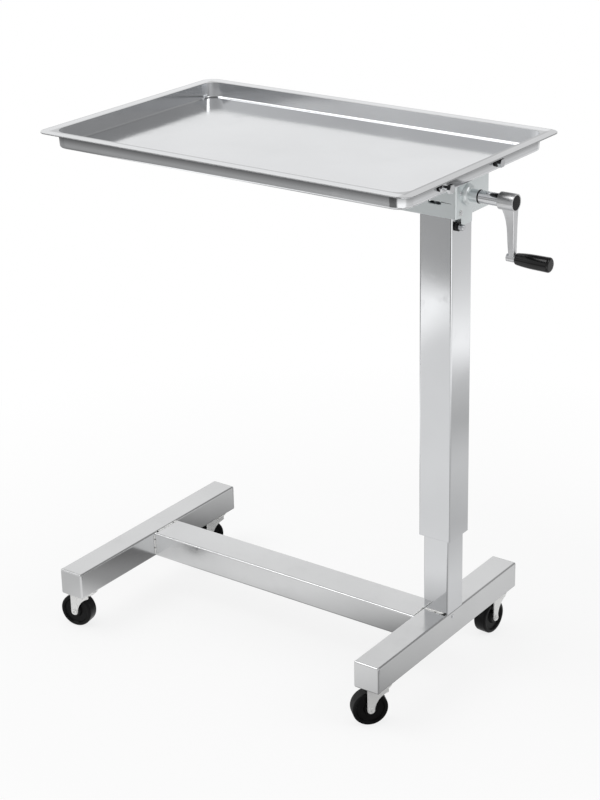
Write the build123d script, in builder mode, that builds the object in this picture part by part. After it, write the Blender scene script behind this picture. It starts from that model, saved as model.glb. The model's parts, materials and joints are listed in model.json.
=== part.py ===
from build123d import *
from math import cos, pi, radians, sin, sqrt, tan
import os

# Crank-raised instrument stand: an H base on four swivel casters, a square column that
# telescopes on a lead screw, a bevel gear drive with a side crank, and a pressed tray.
# Millimetres, +Z up. The origin is on the floor, under the middle of the overall outline.

# Base tubes
base_length = 550.0
leg_length = 366.0
leg_size = 40.0
tube_wall = 2.0
tube_corner = 2.5
bore_corner = 0.5
beam_width = 55.0
beam_height = 38.0
beam_offset_y = -8.0
left_leg_offset_y = -20.0
end_cap_thickness = 3.0
end_cap_plug = 10.0
end_cap_play = 0.5
cap_edge = 2.4

# Telescopic column
inner_tube_size = 40.0
outer_tube_size = 50.0
column_offset_y = 11.5
lower_column_length = 455.0
upper_column_bottom = 216.0
column_in_housing = 10.0
guide_clearance = 0.25
guide_length = 30.0
upper_guide_corner = 3.5
lower_guide_corner = 1.0

# Lead screw and its nut
spindle_radius = 8.0
journal_radius = 6.0
running_clearance = 0.05
nut_radius = 13.0
nut_flange_radius = 16.0
nut_flange_thickness = 4.0
nut_length = 26.0
carrier_chamfer = 1.0
spindle_bottom = 275.0
spindle_chamfer = 1.5
washer_radius = 12.0
washer_thickness = 2.5
bearing_plate_thickness = 6.0
bearing_plate_depth = 20.0
bearing_plate_corner = 1.0

# Bevel gear pair, equal wheels on crossed axes
gear_teeth = 20
gear_module = 1.5
gear_face = 7.0
tooth_addendum = 1.1
tooth_dedendum = 1.9
tooth_backlash = 0.5
tooth_flank_angle = 20.0
tooth_embed = 0.4
gear_hub_radius = 9.5

# Gear housing under the tray
housing_left = 75.0
housing_right = 12.5
housing_front = 16.0
housing_depth = 82.5
housing_height = 54.5
sheet = 2.5
bend_radius = 3.0
slot_length = 19.5
slot_height = 4.5
slot_from_right = 32.8
slot_rise = 18.5
bracket_width = 27.0
bracket_inset = 9.0
bracket_drop = 13.0
bracket_top_gap = 9.5
bracket_corner = 1.5

# Crank
crank_drop = 27.0
shaft_radius = 5.0
bush_radius = 7.0
bush_flange = 0.3
boss_radius = 8.5
boss_length = 18.0
boss_flare = 5.8
boss_rim = 0.4
ring_radius = 9.2
ring_thickness = 1.5
ring_round = 0.5
sleeve_radius = 8.5
sleeve_length = 30.0
sleeve_chamfer = 0.5
hub_radius = 11.5
hub_length = 22.5
hub_cap_radius = 10.0
hub_cap_thickness = 1.5
hub_cap_round = 0.6
crank_radius = 74.0
eye_radius = 5.3
eye_length = 11.5
arm_widths = [20.0, 14.5, 10.5, 8.0]
arm_depths = [15.0, 12.4, 10.0, 8.6]
arm_drops = [6.0, 18.0, 46.0, 72.0]
arm_corner = 2.2
grip_pin_radius = 3.0
pin_clearance = 0.1
grip_shoulder = 1.5
grip_length = 50.0
grip_neck_radius = 6.5
grip_neck_length = 3.0
grip_small_radius = 8.0
grip_large_radius = 10.0
grip_end_round = 3.0
grip_wall_end = 7.0

# Tray and the frame that carries it
tray_length = 600.0
tray_width = 380.0
tray_overhang = 51.5
tray_flange = 15.3
tray_depth = 23.0
tray_sheet = 1.2
tray_top = 757.5
flange_corner = 18.0
wall_corner = 22.0
wall_draft = 4.0
floor_fillet = 3.5
frame_tube = 20.0
frame_wall = 1.5
frame_corner = 2.0
frame_width = 220.0
frame_length = 405.0

# Screws and bolts
tray_bolt_y = [-92.0, 44.0]
tray_bolt_reach = [11.0, 3.0]
tray_bolt_rise = 11.5
bolt_radius = 3.0
bolt_head_across = 11.0
bolt_head_height = 5.0
bolt_nut_height = 4.5
bolt_washer_radius = 6.0
bolt_washer_thickness = 1.5
bolt_inner_end = 8.0
inner_nut_across = 10.0
inner_nut_height = 3.5
nut_chamfer = 0.5
housing_screw_inset = 11.0
housing_screw_rises = [6.5, 32.5]
housing_screw_radius = 2.6
housing_screw_height = 1.2
housing_screw_chamfer = 0.5
stop_bolt_inset = 7.5
stop_bolt_drop = 12.0
stop_bolt_radius = 4.0
stop_bolt_length = 14.0
stop_bolt_chamfer = 0.8
stop_washer_radius = 5.8
stop_washer_thickness = 1.2
stop_nut_across = 10.0
stop_nut_height = 3.5
foot_screw_radius = 2.6
foot_screw_height = 1.0
foot_screw_chamfer = 0.4
foot_screw_drop = 8.0
foot_screw_y = 5.0

# Casters
wheel_radius = 25.0
wheel_width = 20.0
wheel_hub_width = 22.0
wheel_hub_edge_radius = 8.0
wheel_hub_foot_radius = 10.0
wheel_rim_width = 5.0
wheel_dish = 2.5
wheel_dish_slope = 1.5
tread_round = 3.0
caster_height = 60.0
caster_inset = 29.0
caster_trail = 13.0
raceway_radius = 19.0
raceway_thickness = 2.0
race_ring_radius = 16.0
race_ring_thickness = 1.8
swivel_gap = 0.2
fork_thickness = 2.0
fork_gap = 0.5
fork_foot_radius = 5.2
fork_strip = 2.0
fork_web = 1.4
fork_web_lead = 4.0
fork_web_overlap = 1.0
fork_web_drop = 3.5
fork_waist = (-3.0, 39.0)
fork_top_radius = 15.0
stem_radius = 5.0
stem_head_radius = 7.5
stem_head_height = 2.0
stem_rise = 12.0
stem_nut_across = 17.0
stem_nut_height = 7.0
axle_radius = 3.0
axle_head_radius = 4.0
axle_head_height = 1.4
axle_dimple_radius = 1.7
axle_dimple_depth = 1.2
bush_wall = 1.5
caster_headings = {
    "front_right": 318.0, "front_left": 281.0, "rear_right": 356.0, "rear_left": 330.0,
}

# Places that follow from the sizes above
crank_reach = (
    housing_right + boss_length + ring_thickness + sleeve_length + hub_length
    + grip_shoulder + grip_length
)
front_left_heading = radians(caster_headings["front_left"])
caster_reach = -(caster_trail + wheel_radius) * sin(front_left_heading)
caster_reach += wheel_width / 2 * cos(front_left_heading)
left_reach = base_length - leg_size / 2 + caster_reach
right_x = (left_reach - crank_reach) / 2
left_x = right_x - base_length
base_y = (leg_length / 2 - left_leg_offset_y - tray_width / 2) / 2
tray_bottom = tray_top - tray_depth
housing_bottom = tray_bottom - housing_height
leg_bottom = caster_height
leg_top = leg_bottom + leg_size
leg_middle_z = leg_bottom + leg_size / 2
right_leg_x = right_x - leg_size / 2
left_leg_x = left_x + leg_size / 2
column_x = right_x - inner_tube_size / 2
column_y = base_y + column_offset_y
lower_column_top = leg_top + lower_column_length
upper_column_top = housing_bottom + column_in_housing
column_bore = outer_tube_size - 2 * tube_wall
column_right = column_x + outer_tube_size / 2
bearing_plate_z = upper_column_top - bearing_plate_depth
crank_z = tray_bottom - crank_drop
plate_x = right_x + housing_right
plate_inner_x = plate_x - sheet
housing_left_x = right_x - housing_left
housing_front_y = base_y - housing_front
boss_end_x = plate_x + boss_length
sleeve_start_x = boss_end_x + ring_thickness
hub_start_x = sleeve_start_x + sleeve_length
hub_end_x = hub_start_x + hub_length
grip_start_x = hub_end_x + grip_shoulder
grip_end_x = grip_start_x + grip_length
grip_z = crank_z - crank_radius
tray_right = right_x + tray_overhang
tray_x = tray_right - tray_length / 2

# Gear geometry: pitch cones of 45 degrees that meet where the two axes cross
pitch_radius = gear_module * gear_teeth / 2
cone_distance = pitch_radius * sqrt(2)
face_scale = (cone_distance - gear_face) / cone_distance
root_radius = pitch_radius - tooth_dedendum / sqrt(2)
root_height = pitch_radius + tooth_dedendum / sqrt(2)
gear_front_height = face_scale * root_height
spindle_gear_height = crank_z - (bearing_plate_z + bearing_plate_thickness + washer_thickness)
crank_gear_height = column_right - column_x - bush_flange


def save(part, name):
    """Label a finished piece and write it to its own file."""
    part.label = name
    export_step(part, f"parts/{name}.step")


def facing_right(x, y, z):
    """A plane square to +X, with +Y as its first direction."""
    return Plane(origin=(x, y, z), x_dir=(0, 1, 0), z_dir=(1, 0, 0))


def facing_back(x, y, z):
    """A plane square to +Y, with +X as its first direction."""
    return Plane(origin=(x, y, z), x_dir=(1, 0, 0), z_dir=(0, 1, 0))


def square_tube(plane, size_x, size_y, length, wall, corner):
    """A hollow rectangular tube with rounded long edges, standing on a plane."""
    with BuildPart() as tube:
        with BuildSketch(plane):
            RectangleRounded(size_x, size_y, corner)
            inner_x = size_x - 2 * wall
            inner_y = size_y - 2 * wall
            RectangleRounded(inner_x, inner_y, max(corner - wall, bore_corner), mode=Mode.SUBTRACT)
        extrude(amount=length)
    return tube.part


def end_cap(end_face):
    """The closed end of a leg: a plate with rounded edges and a hollow plug inside the tube."""
    plug_size = leg_size - 2 * tube_wall - 2 * end_cap_play
    plug_hollow = plug_size - 2 * tube_wall
    with BuildPart() as cap:
        with BuildSketch(end_face.offset(-end_cap_thickness)):
            RectangleRounded(leg_size, leg_size, tube_corner)
        extrude(amount=end_cap_thickness)
        with BuildSketch(end_face.offset(-end_cap_thickness)):
            Rectangle(plug_size, plug_size)
            Rectangle(plug_hollow, plug_hollow, mode=Mode.SUBTRACT)
        extrude(amount=-end_cap_plug)
        outer_face = cap.faces().sort_by(Axis(end_face.origin, end_face.z_dir))[-1]
        fillet(outer_face.edges(), cap_edge)
    return cap.part


def bevel_gear(height, bore, turn):
    """A bevel gear about Z with its cone point at the origin and its back at the given height."""
    foot = tooth_dedendum + tooth_embed
    half_pitch = (pi * gear_module / 2 - tooth_backlash) / 2
    slope = tan(radians(tooth_flank_angle))
    with BuildPart() as tooth:
        for scale in (1.0, face_scale):
            place = pitch_radius * scale
            section = Plane(origin=(place, 0, place), x_dir=(0, 1, 0), z_dir=(1, 0, 1))
            outward = 1.0 if section.y_dir.X > 0 else -1.0
            with BuildSketch(section):
                with BuildLine():
                    half_tip = (half_pitch - tooth_addendum * slope) * scale
                    half_foot = (half_pitch + foot * slope) * scale
                    # the tooth stands up from the pitch cone, away from the gear's back
                    foot_y = -foot * scale * outward
                    tip_y = tooth_addendum * scale * outward
                    Polyline(
                        (-half_foot, foot_y), (half_foot, foot_y),
                        (half_tip, tip_y), (-half_tip, tip_y),
                        close=True,
                    )
                make_face()
        loft()
    with BuildPart() as gear:
        with BuildSketch(Plane.XZ):
            with BuildLine():
                Polyline(
                    (bore, gear_front_height),
                    (root_radius * face_scale, gear_front_height),
                    (root_radius, root_height),
                    (root_radius, root_height + gear_module),
                    (gear_hub_radius, root_height + gear_module),
                    (gear_hub_radius, height),
                    (bore, height),
                    close=True,
                )
            make_face()
        revolve(axis=Axis.Z)
        with PolarLocations(0, gear_teeth, start_angle=turn):
            add(tooth.part)
    return gear.part


def hex_prism(plane, across, height, hole):
    """A hexagonal nut on a plane."""
    with BuildPart() as nut:
        with BuildSketch(plane):
            RegularPolygon(across / 2, 6, major_radius=False)
            if hole:
                Circle(hole, mode=Mode.SUBTRACT)
        extrude(amount=height)
        outer_face = nut.faces().sort_by(Axis(plane.origin, plane.z_dir))[-1]
        chamfer(outer_face.outer_wire().edges(), nut_chamfer)
    return nut.part


os.makedirs("parts", exist_ok=True)

# Base: two legs, the cross beam and the closed leg ends
leg_tube_length = leg_length - 2 * end_cap_thickness
caster_y = leg_length / 2 - caster_inset
legs = {"left_leg": (left_leg_x, base_y + left_leg_offset_y), "right_leg": (right_leg_x, base_y)}

for leg_name, (leg_x, leg_y) in legs.items():
    leg_start_y = leg_y - leg_tube_length / 2
    leg_plane = facing_back(leg_x, leg_start_y, leg_middle_z)
    with BuildPart() as leg:
        add(square_tube(leg_plane, leg_size, leg_size, leg_tube_length, tube_wall, tube_corner))
        with BuildSketch(Plane.XY.offset(leg_bottom)):
            with Locations((leg_x, leg_y - caster_y), (leg_x, leg_y + caster_y)):
                Circle(stem_radius)
        extrude(amount=tube_wall, mode=Mode.SUBTRACT)
    save(leg.part, leg_name)

with BuildPart() as leg_end_caps:
    for leg_x, leg_y in legs.values():
        for side in (-1, 1):
            end_centre = (leg_x, leg_y + side * leg_length / 2, leg_middle_z)
            add(end_cap(Plane(origin=end_centre, x_dir=(1, 0, 0), z_dir=(0, side, 0))))
save(leg_end_caps.part, "leg_end_caps")

beam_plane = facing_right(left_x + leg_size, base_y + beam_offset_y, leg_middle_z)
beam_length = base_length - 2 * leg_size
cross_beam = square_tube(beam_plane, beam_width, beam_height, beam_length, tube_wall, tube_corner)
save(cross_beam, "cross_beam")

# Column: a fixed inner tube with the nut, and the outer tube that rides up on it
column_axis = (column_x, column_y, 0)
column_plane = Plane(origin=column_axis)
lower_column = square_tube(
    column_plane.offset(leg_top), inner_tube_size, inner_tube_size,
    lower_column_length, tube_wall, tube_corner,
)
save(lower_column, "lower_column")

nut_bottom = lower_column_top - nut_length
with BuildPart() as nut_carrier:
    carrier_size = inner_tube_size - 2 * tube_wall
    with BuildSketch(column_plane.offset(nut_bottom)):
        Rectangle(carrier_size, carrier_size)
        Circle(nut_radius, mode=Mode.SUBTRACT)
    extrude(amount=nut_length)
    chamfer(nut_carrier.edges().filter_by(Axis.Z), carrier_chamfer)
save(nut_carrier.part, "nut_carrier")

with BuildPart() as spindle_nut:
    with BuildSketch(column_plane.offset(nut_bottom)):
        Circle(nut_radius)
    extrude(amount=nut_length)
    with BuildSketch(column_plane.offset(lower_column_top)):
        Circle(nut_flange_radius)
    extrude(amount=nut_flange_thickness)
    with BuildSketch(column_plane.offset(nut_bottom)):
        Circle(spindle_radius + running_clearance)
    extrude(amount=nut_length + nut_flange_thickness, mode=Mode.SUBTRACT)
save(spindle_nut.part, "spindle_nut")

guide_size = column_bore - 2 * guide_clearance
upper_guide = square_tube(
    column_plane.offset(lower_column_top - guide_length), guide_size, guide_size,
    guide_length, (guide_size - inner_tube_size) / 2, upper_guide_corner,
)
save(upper_guide, "upper_guide")

upper_column = square_tube(
    column_plane.offset(upper_column_bottom), outer_tube_size, outer_tube_size,
    upper_column_top - upper_column_bottom, tube_wall, tube_corner,
)
with BuildPart() as upper_column_drilled:
    add(upper_column)
    stop_bolt_y = column_y - outer_tube_size / 2 + stop_bolt_inset
    stop_plane = facing_right(column_right, stop_bolt_y, housing_bottom - stop_bolt_drop)
    with BuildSketch(stop_plane):
        Circle(stop_bolt_radius)
    extrude(amount=-tube_wall, mode=Mode.SUBTRACT)
save(upper_column_drilled.part, "upper_column")

lower_guide_opening = inner_tube_size + 2 * guide_clearance
lower_guide = square_tube(
    column_plane.offset(upper_column_bottom), column_bore, column_bore,
    guide_length, (column_bore - lower_guide_opening) / 2, lower_guide_corner,
)
save(lower_guide, "lower_guide")

with BuildPart() as bearing_plate:
    with BuildSketch(column_plane.offset(bearing_plate_z)):
        RectangleRounded(column_bore, column_bore, bearing_plate_corner)
        Circle(journal_radius + running_clearance, mode=Mode.SUBTRACT)
    extrude(amount=bearing_plate_thickness)
save(bearing_plate.part, "bearing_plate")

# Lead screw with its gear and thrust washers
spindle_shoulder = bearing_plate_z - washer_thickness
with BuildPart() as spindle:
    with BuildSketch(column_plane.offset(spindle_bottom)):
        Circle(spindle_radius)
    extrude(amount=spindle_shoulder - spindle_bottom)
    chamfer(spindle.edges().sort_by(Axis.Z)[0], spindle_chamfer)
    with BuildSketch(column_plane.offset(spindle_shoulder)):
        Circle(journal_radius)
    extrude(amount=crank_z - gear_front_height - spindle_shoulder)
save(spindle.part, "spindle")

with BuildPart() as thrust_washers:
    for washer_z in (spindle_shoulder, bearing_plate_z + bearing_plate_thickness):
        with BuildSketch(column_plane.offset(washer_z)):
            Circle(washer_radius)
            Circle(journal_radius, mode=Mode.SUBTRACT)
        extrude(amount=washer_thickness)
save(thrust_washers.part, "thrust_washers")

gear_point = (column_x, column_y, crank_z)
spindle_gear_place = Plane(origin=gear_point, x_dir=(1, 0, 0), z_dir=(0, 0, -1))
crank_gear_place = Plane(origin=gear_point, x_dir=(0, 0, -1), z_dir=(1, 0, 0))
spindle_gear = spindle_gear_place.location * bevel_gear(spindle_gear_height, journal_radius, 0)
save(spindle_gear, "spindle_gear")
half_tooth_turn = 180 / gear_teeth
crank_gear = crank_gear_place.location * bevel_gear(crank_gear_height, shaft_radius, half_tooth_turn)
save(crank_gear, "crank_gear")

# Gear housing: a folded zinc sheet box, open below, with a slot in its front cheek
housing_width = housing_left + housing_right
housing_x = right_x + (housing_right - housing_left) / 2
housing_y = housing_front_y + housing_depth / 2
with BuildPart() as gear_housing:
    with BuildSketch(Plane.XY.offset(housing_bottom)):
        with Locations((housing_x, housing_y)):
            RectangleRounded(housing_width, housing_depth, bend_radius)
    extrude(amount=housing_height)
    offset(amount=-sheet, openings=gear_housing.faces().sort_by(Axis.Z)[0])
    front_plane = Plane(origin=(0, housing_front_y, 0), x_dir=(1, 0, 0), z_dir=(0, -1, 0))
    with BuildSketch(front_plane):
        with Locations((plate_x - slot_from_right, housing_bottom + slot_rise)):
            SlotOverall(slot_length, slot_height)
    extrude(amount=-sheet, mode=Mode.SUBTRACT)
    with BuildSketch(facing_right(plate_x, column_y, crank_z)):
        Circle(bush_radius)
        screw_y = housing_front_y + housing_screw_inset - column_y
        for rise in housing_screw_rises:
            with Locations((screw_y, housing_bottom + rise - crank_z)):
                Circle(housing_screw_radius / 2)
    extrude(amount=-sheet, mode=Mode.SUBTRACT)
save(gear_housing.part, "gear_housing")

# The bracket between the column's right face and the housing, with its tongue below
bracket_y = column_y + (outer_tube_size - bracket_width) / 2 - bracket_inset
bracket_height = housing_height + bracket_drop - bracket_top_gap
bracket_middle_z = housing_bottom - bracket_drop + bracket_height / 2
with BuildPart() as column_bracket:
    with BuildSketch(facing_right(column_right, 0, 0)):
        with Locations((bracket_y, bracket_middle_z)):
            RectangleRounded(bracket_width, bracket_height, bracket_corner)
        with Locations((column_y, crank_z)):
            Circle(bush_radius, mode=Mode.SUBTRACT)
    extrude(amount=plate_inner_x - column_right)
save(column_bracket.part, "column_bracket")

# The flared bearing boss and the bush that runs through it
with BuildPart() as crank_boss:
    with BuildSketch(Plane(origin=(plate_x, column_y, crank_z), x_dir=(0, 0, 1), z_dir=(0, 1, 0))):
        with BuildLine():
            # drawn with the shaft's axis along the plane's second direction
            flare = boss_radius + boss_flare
            Line((bush_radius, 0), (flare, 0))
            Line((flare, 0), (flare, boss_rim))
            RadiusArc((flare, boss_rim), (boss_radius, boss_rim + boss_flare), -boss_flare)
            Line((boss_radius, boss_rim + boss_flare), (boss_radius, boss_length))
            Line((boss_radius, boss_length), (bush_radius, boss_length))
            Line((bush_radius, boss_length), (bush_radius, 0))
        make_face()
    revolve(axis=Axis((plate_x, column_y, crank_z), (1, 0, 0)))
save(crank_boss.part, "crank_boss")

with BuildPart() as crank_bush:
    with BuildSketch(facing_right(column_right, column_y, crank_z)):
        Circle(bush_radius)
        Circle(shaft_radius + running_clearance, mode=Mode.SUBTRACT)
    extrude(amount=boss_end_x - column_right)
save(crank_bush.part, "crank_bush")

# Crank: shaft, ring, sleeve, cast arm, cap, pin and the revolving grip
crank_plane = facing_right(0, column_y, crank_z)
shaft_start_x = column_x + gear_front_height
with BuildPart() as crank_shaft:
    with BuildSketch(crank_plane.offset(shaft_start_x)):
        Circle(shaft_radius)
    extrude(amount=hub_end_x - hub_cap_thickness - shaft_start_x)
save(crank_shaft.part, "crank_shaft")

with BuildPart() as shaft_ring:
    with BuildSketch(crank_plane.offset(boss_end_x)):
        Circle(ring_radius)
        Circle(shaft_radius, mode=Mode.SUBTRACT)
    extrude(amount=ring_thickness)
    outer_edges = shaft_ring.edges().filter_by(GeomType.CIRCLE).group_by(SortBy.LENGTH)[-1]
    fillet(outer_edges, ring_round)
save(shaft_ring.part, "shaft_ring")

with BuildPart() as shaft_sleeve:
    with BuildSketch(crank_plane.offset(sleeve_start_x)):
        Circle(sleeve_radius)
        Circle(shaft_radius, mode=Mode.SUBTRACT)
    extrude(amount=sleeve_length)
    outer_edges = shaft_sleeve.edges().filter_by(GeomType.CIRCLE).group_by(SortBy.LENGTH)[-1]
    chamfer(outer_edges, sleeve_chamfer)
save(shaft_sleeve.part, "shaft_sleeve")

with BuildPart() as crank_arm:
    for drop, width, depth in zip(arm_drops, arm_widths, arm_depths):
        with BuildSketch(Plane.XY.offset(crank_z - drop)):
            with Locations((hub_end_x - width / 2, column_y)):
                RectangleRounded(width, depth, arm_corner)
    loft()
    with BuildSketch(crank_plane.offset(hub_start_x)):
        Circle(hub_radius)
    extrude(amount=hub_length)
    with BuildSketch(crank_plane.offset(hub_end_x - eye_length)):
        with Locations((0, -crank_radius)):
            Circle(eye_radius)
    extrude(amount=eye_length)
    with BuildSketch(crank_plane.offset(hub_start_x)):
        Circle(shaft_radius)
    extrude(amount=hub_length, mode=Mode.SUBTRACT)
    with BuildSketch(crank_plane.offset(hub_end_x)):
        Circle(hub_cap_radius)
    extrude(amount=-hub_cap_thickness, mode=Mode.SUBTRACT)
    with BuildSketch(crank_plane.offset(hub_end_x - eye_length)):
        with Locations((0, -crank_radius)):
            Circle(grip_pin_radius)
    extrude(amount=eye_length, mode=Mode.SUBTRACT)
save(crank_arm.part, "crank_arm")

with BuildPart() as hub_cap:
    with BuildSketch(crank_plane.offset(hub_end_x - hub_cap_thickness)):
        Circle(hub_cap_radius)
    extrude(amount=hub_cap_thickness)
    fillet(hub_cap.edges().sort_by(Axis.X)[-1], hub_cap_round)
save(hub_cap.part, "hub_cap")

grip_plane = facing_right(0, column_y, grip_z)
pin_end_x = grip_end_x - grip_wall_end
with BuildPart() as grip_pin:
    with BuildSketch(grip_plane.offset(hub_end_x - eye_length)):
        Circle(grip_pin_radius)
    extrude(amount=pin_end_x - pin_clearance - hub_end_x + eye_length)
    with BuildSketch(grip_plane.offset(hub_end_x)):
        Circle(eye_radius)
    extrude(amount=grip_shoulder - swivel_gap)
save(grip_pin.part, "grip_pin")

with BuildPart() as grip:
    with BuildSketch(Plane(origin=(0, column_y, grip_z), x_dir=(1, 0, 0), z_dir=(0, -1, 0))):
        with BuildLine():
            bore = grip_pin_radius + pin_clearance
            Line((grip_start_x, bore), (grip_start_x, grip_neck_radius))
            Spline(
                (grip_start_x, grip_neck_radius),
                (grip_start_x + grip_neck_length, grip_small_radius),
                (grip_end_x - grip_end_round, grip_large_radius),
                tangents=((0.3, 1), (1, 0.02)),
            )
            RadiusArc(
                (grip_end_x - grip_end_round, grip_large_radius),
                (grip_end_x, grip_large_radius - grip_end_round),
                grip_end_round,
            )
            Line((grip_end_x, grip_large_radius - grip_end_round), (grip_end_x, 0))
            Line((grip_end_x, 0), (pin_end_x, 0))
            Line((pin_end_x, 0), (pin_end_x, bore))
            Line((pin_end_x, bore), (grip_start_x, bore))
        make_face()
    revolve(axis=Axis((0, column_y, grip_z), (1, 0, 0)))
save(grip.part, "grip")

# Tray frame: four square tubes under the tray, welded to the housing's left end
frame_middle_z = tray_bottom - frame_tube / 2
bar_start_y = base_y - frame_width / 2
near_bar_x = housing_left_x - frame_tube / 2
far_bar_x = housing_left_x - frame_length + frame_tube / 2
for bar_name, bar_x in (("frame_near_bar", near_bar_x), ("frame_far_bar", far_bar_x)):
    bar_plane = facing_back(bar_x, bar_start_y, frame_middle_z)
    save(square_tube(bar_plane, frame_tube, frame_tube, frame_width, frame_wall, frame_corner), bar_name)
arm_start_x = far_bar_x + frame_tube / 2
arm_tube_length = frame_length - 2 * frame_tube
for bar_name, bar_side in (("frame_front_bar", -1), ("frame_rear_bar", 1)):
    bar_y = base_y + bar_side * (frame_width - frame_tube) / 2
    bar_plane = facing_right(arm_start_x, bar_y, frame_middle_z)
    bar = square_tube(bar_plane, frame_tube, frame_tube, arm_tube_length, frame_wall, frame_corner)
    save(bar, bar_name)

# Tray: one pressed sheet with a drafted wall, a rounded floor edge and a flat flange
mouth_length = tray_length - 2 * tray_flange
mouth_width = tray_width - 2 * tray_flange
bolt_z = tray_bottom + tray_bolt_rise
bolt_places_y = [base_y + y for y in tray_bolt_y]
wall_slope = tan(radians(wall_draft))
wall_at_bolt = tray_right - tray_flange - (tray_depth - tray_bolt_rise) * wall_slope


def pressed_form(margin):
    """The drafted block inside the tray's sheet, grown by a margin on all sides but the top."""
    lean = (tray_depth + margin - tray_sheet) * wall_slope
    with BuildPart() as form:
        with BuildSketch(Plane.XY.offset(tray_bottom + tray_sheet - margin)):
            with Locations((tray_x, base_y)):
                RectangleRounded(
                    mouth_length - 2 * (tray_sheet - margin + lean),
                    mouth_width - 2 * (tray_sheet - margin + lean),
                    wall_corner - tray_sheet + margin - lean,
                )
        extrude(amount=tray_depth - tray_sheet + margin, taper=-wall_draft)
        fillet(form.faces().sort_by(Axis.Z)[0].edges(), floor_fillet - tray_sheet + margin)
    return form.part


with BuildPart() as tray:
    add(pressed_form(tray_sheet))
    with BuildSketch(Plane.XY.offset(tray_top - tray_sheet)):
        with Locations((tray_x, base_y)):
            RectangleRounded(tray_length, tray_width, flange_corner)
    extrude(amount=tray_sheet)
    add(pressed_form(0), mode=Mode.SUBTRACT)
    for bolt_y in bolt_places_y:
        with BuildSketch(facing_right(wall_at_bolt, bolt_y, bolt_z)):
            Circle(bolt_radius)
        extrude(amount=bolt_inner_end, both=True, mode=Mode.SUBTRACT)
save(tray.part, "tray")

# Two bolts through the tray's right wall, each with washers and a nut inside
wall_lean = bolt_washer_radius * wall_slope
washer_outer_x = wall_at_bolt + wall_lean
wall_inner_x = wall_at_bolt - tray_sheet / cos(radians(wall_draft))
nut_inner_x = wall_inner_x - wall_lean - bolt_washer_thickness
with BuildPart() as tray_bolts:
    for bolt_y, reach in zip(bolt_places_y, tray_bolt_reach):
        bolt_axis = facing_right(0, bolt_y, bolt_z)
        head_x = washer_outer_x + bolt_washer_thickness + reach
        with BuildSketch(bolt_axis.offset(wall_at_bolt - bolt_inner_end)):
            Circle(bolt_radius)
        extrude(amount=head_x - wall_at_bolt + bolt_inner_end)
        add(hex_prism(bolt_axis.offset(head_x), bolt_head_across, bolt_head_height, 0))
save(tray_bolts.part, "tray_bolts")

with BuildPart() as tray_washers:
    for bolt_y in bolt_places_y:
        bolt_axis = facing_right(0, bolt_y, bolt_z)
        for washer_x in (washer_outer_x, nut_inner_x):
            with BuildSketch(bolt_axis.offset(washer_x)):
                Circle(bolt_washer_radius)
                Circle(bolt_radius, mode=Mode.SUBTRACT)
            extrude(amount=bolt_washer_thickness)
save(tray_washers.part, "tray_washers")

with BuildPart() as tray_nuts:
    for bolt_y, reach in zip(bolt_places_y, tray_bolt_reach):
        bolt_axis = facing_right(0, bolt_y, bolt_z)
        inner = bolt_axis.offset(nut_inner_x - inner_nut_height)
        add(hex_prism(inner, inner_nut_across, inner_nut_height, bolt_radius))
        if reach > bolt_nut_height:
            outer = bolt_axis.offset(washer_outer_x + bolt_washer_thickness)
            add(hex_prism(outer, bolt_head_across, bolt_nut_height, bolt_radius))
save(tray_nuts.part, "tray_nuts")

# Screws of the housing, the stop bolt on the column and the screw at its foot
with BuildPart() as housing_screws:
    for rise in housing_screw_rises:
        spot = facing_right(plate_x, housing_front_y + housing_screw_inset, housing_bottom + rise)
        with BuildSketch(spot):
            Circle(housing_screw_radius)
        extrude(amount=housing_screw_height)
        with BuildSketch(spot):
            Circle(housing_screw_radius / 2)
        extrude(amount=-sheet)
    chamfer(housing_screws.edges().group_by(Axis.X)[-1], housing_screw_chamfer)
save(housing_screws.part, "housing_screws")

with BuildPart() as stop_bolt:
    with BuildSketch(stop_plane.offset(-tube_wall)):
        Circle(stop_bolt_radius)
    extrude(amount=tube_wall + stop_bolt_length)
    chamfer(stop_bolt.edges().sort_by(Axis.X)[-1], stop_bolt_chamfer)
save(stop_bolt.part, "stop_bolt")

with BuildPart() as stop_washers:
    for washer_x in (0, stop_washer_thickness + stop_nut_height):
        with BuildSketch(stop_plane.offset(washer_x)):
            Circle(stop_washer_radius)
            Circle(stop_bolt_radius, mode=Mode.SUBTRACT)
        extrude(amount=stop_washer_thickness)
save(stop_washers.part, "stop_washers")

stop_nut_plane = stop_plane.offset(stop_washer_thickness)
stop_nut = hex_prism(stop_nut_plane, stop_nut_across, stop_nut_height, stop_bolt_radius)
save(stop_nut, "stop_nut")

with BuildPart() as foot_screw:
    with BuildSketch(facing_right(right_x, base_y + foot_screw_y, leg_top - foot_screw_drop)):
        Circle(foot_screw_radius)
    extrude(amount=foot_screw_height)
    chamfer(foot_screw.edges().sort_by(Axis.X)[-1], foot_screw_chamfer)
save(foot_screw.part, "foot_screw")

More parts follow.
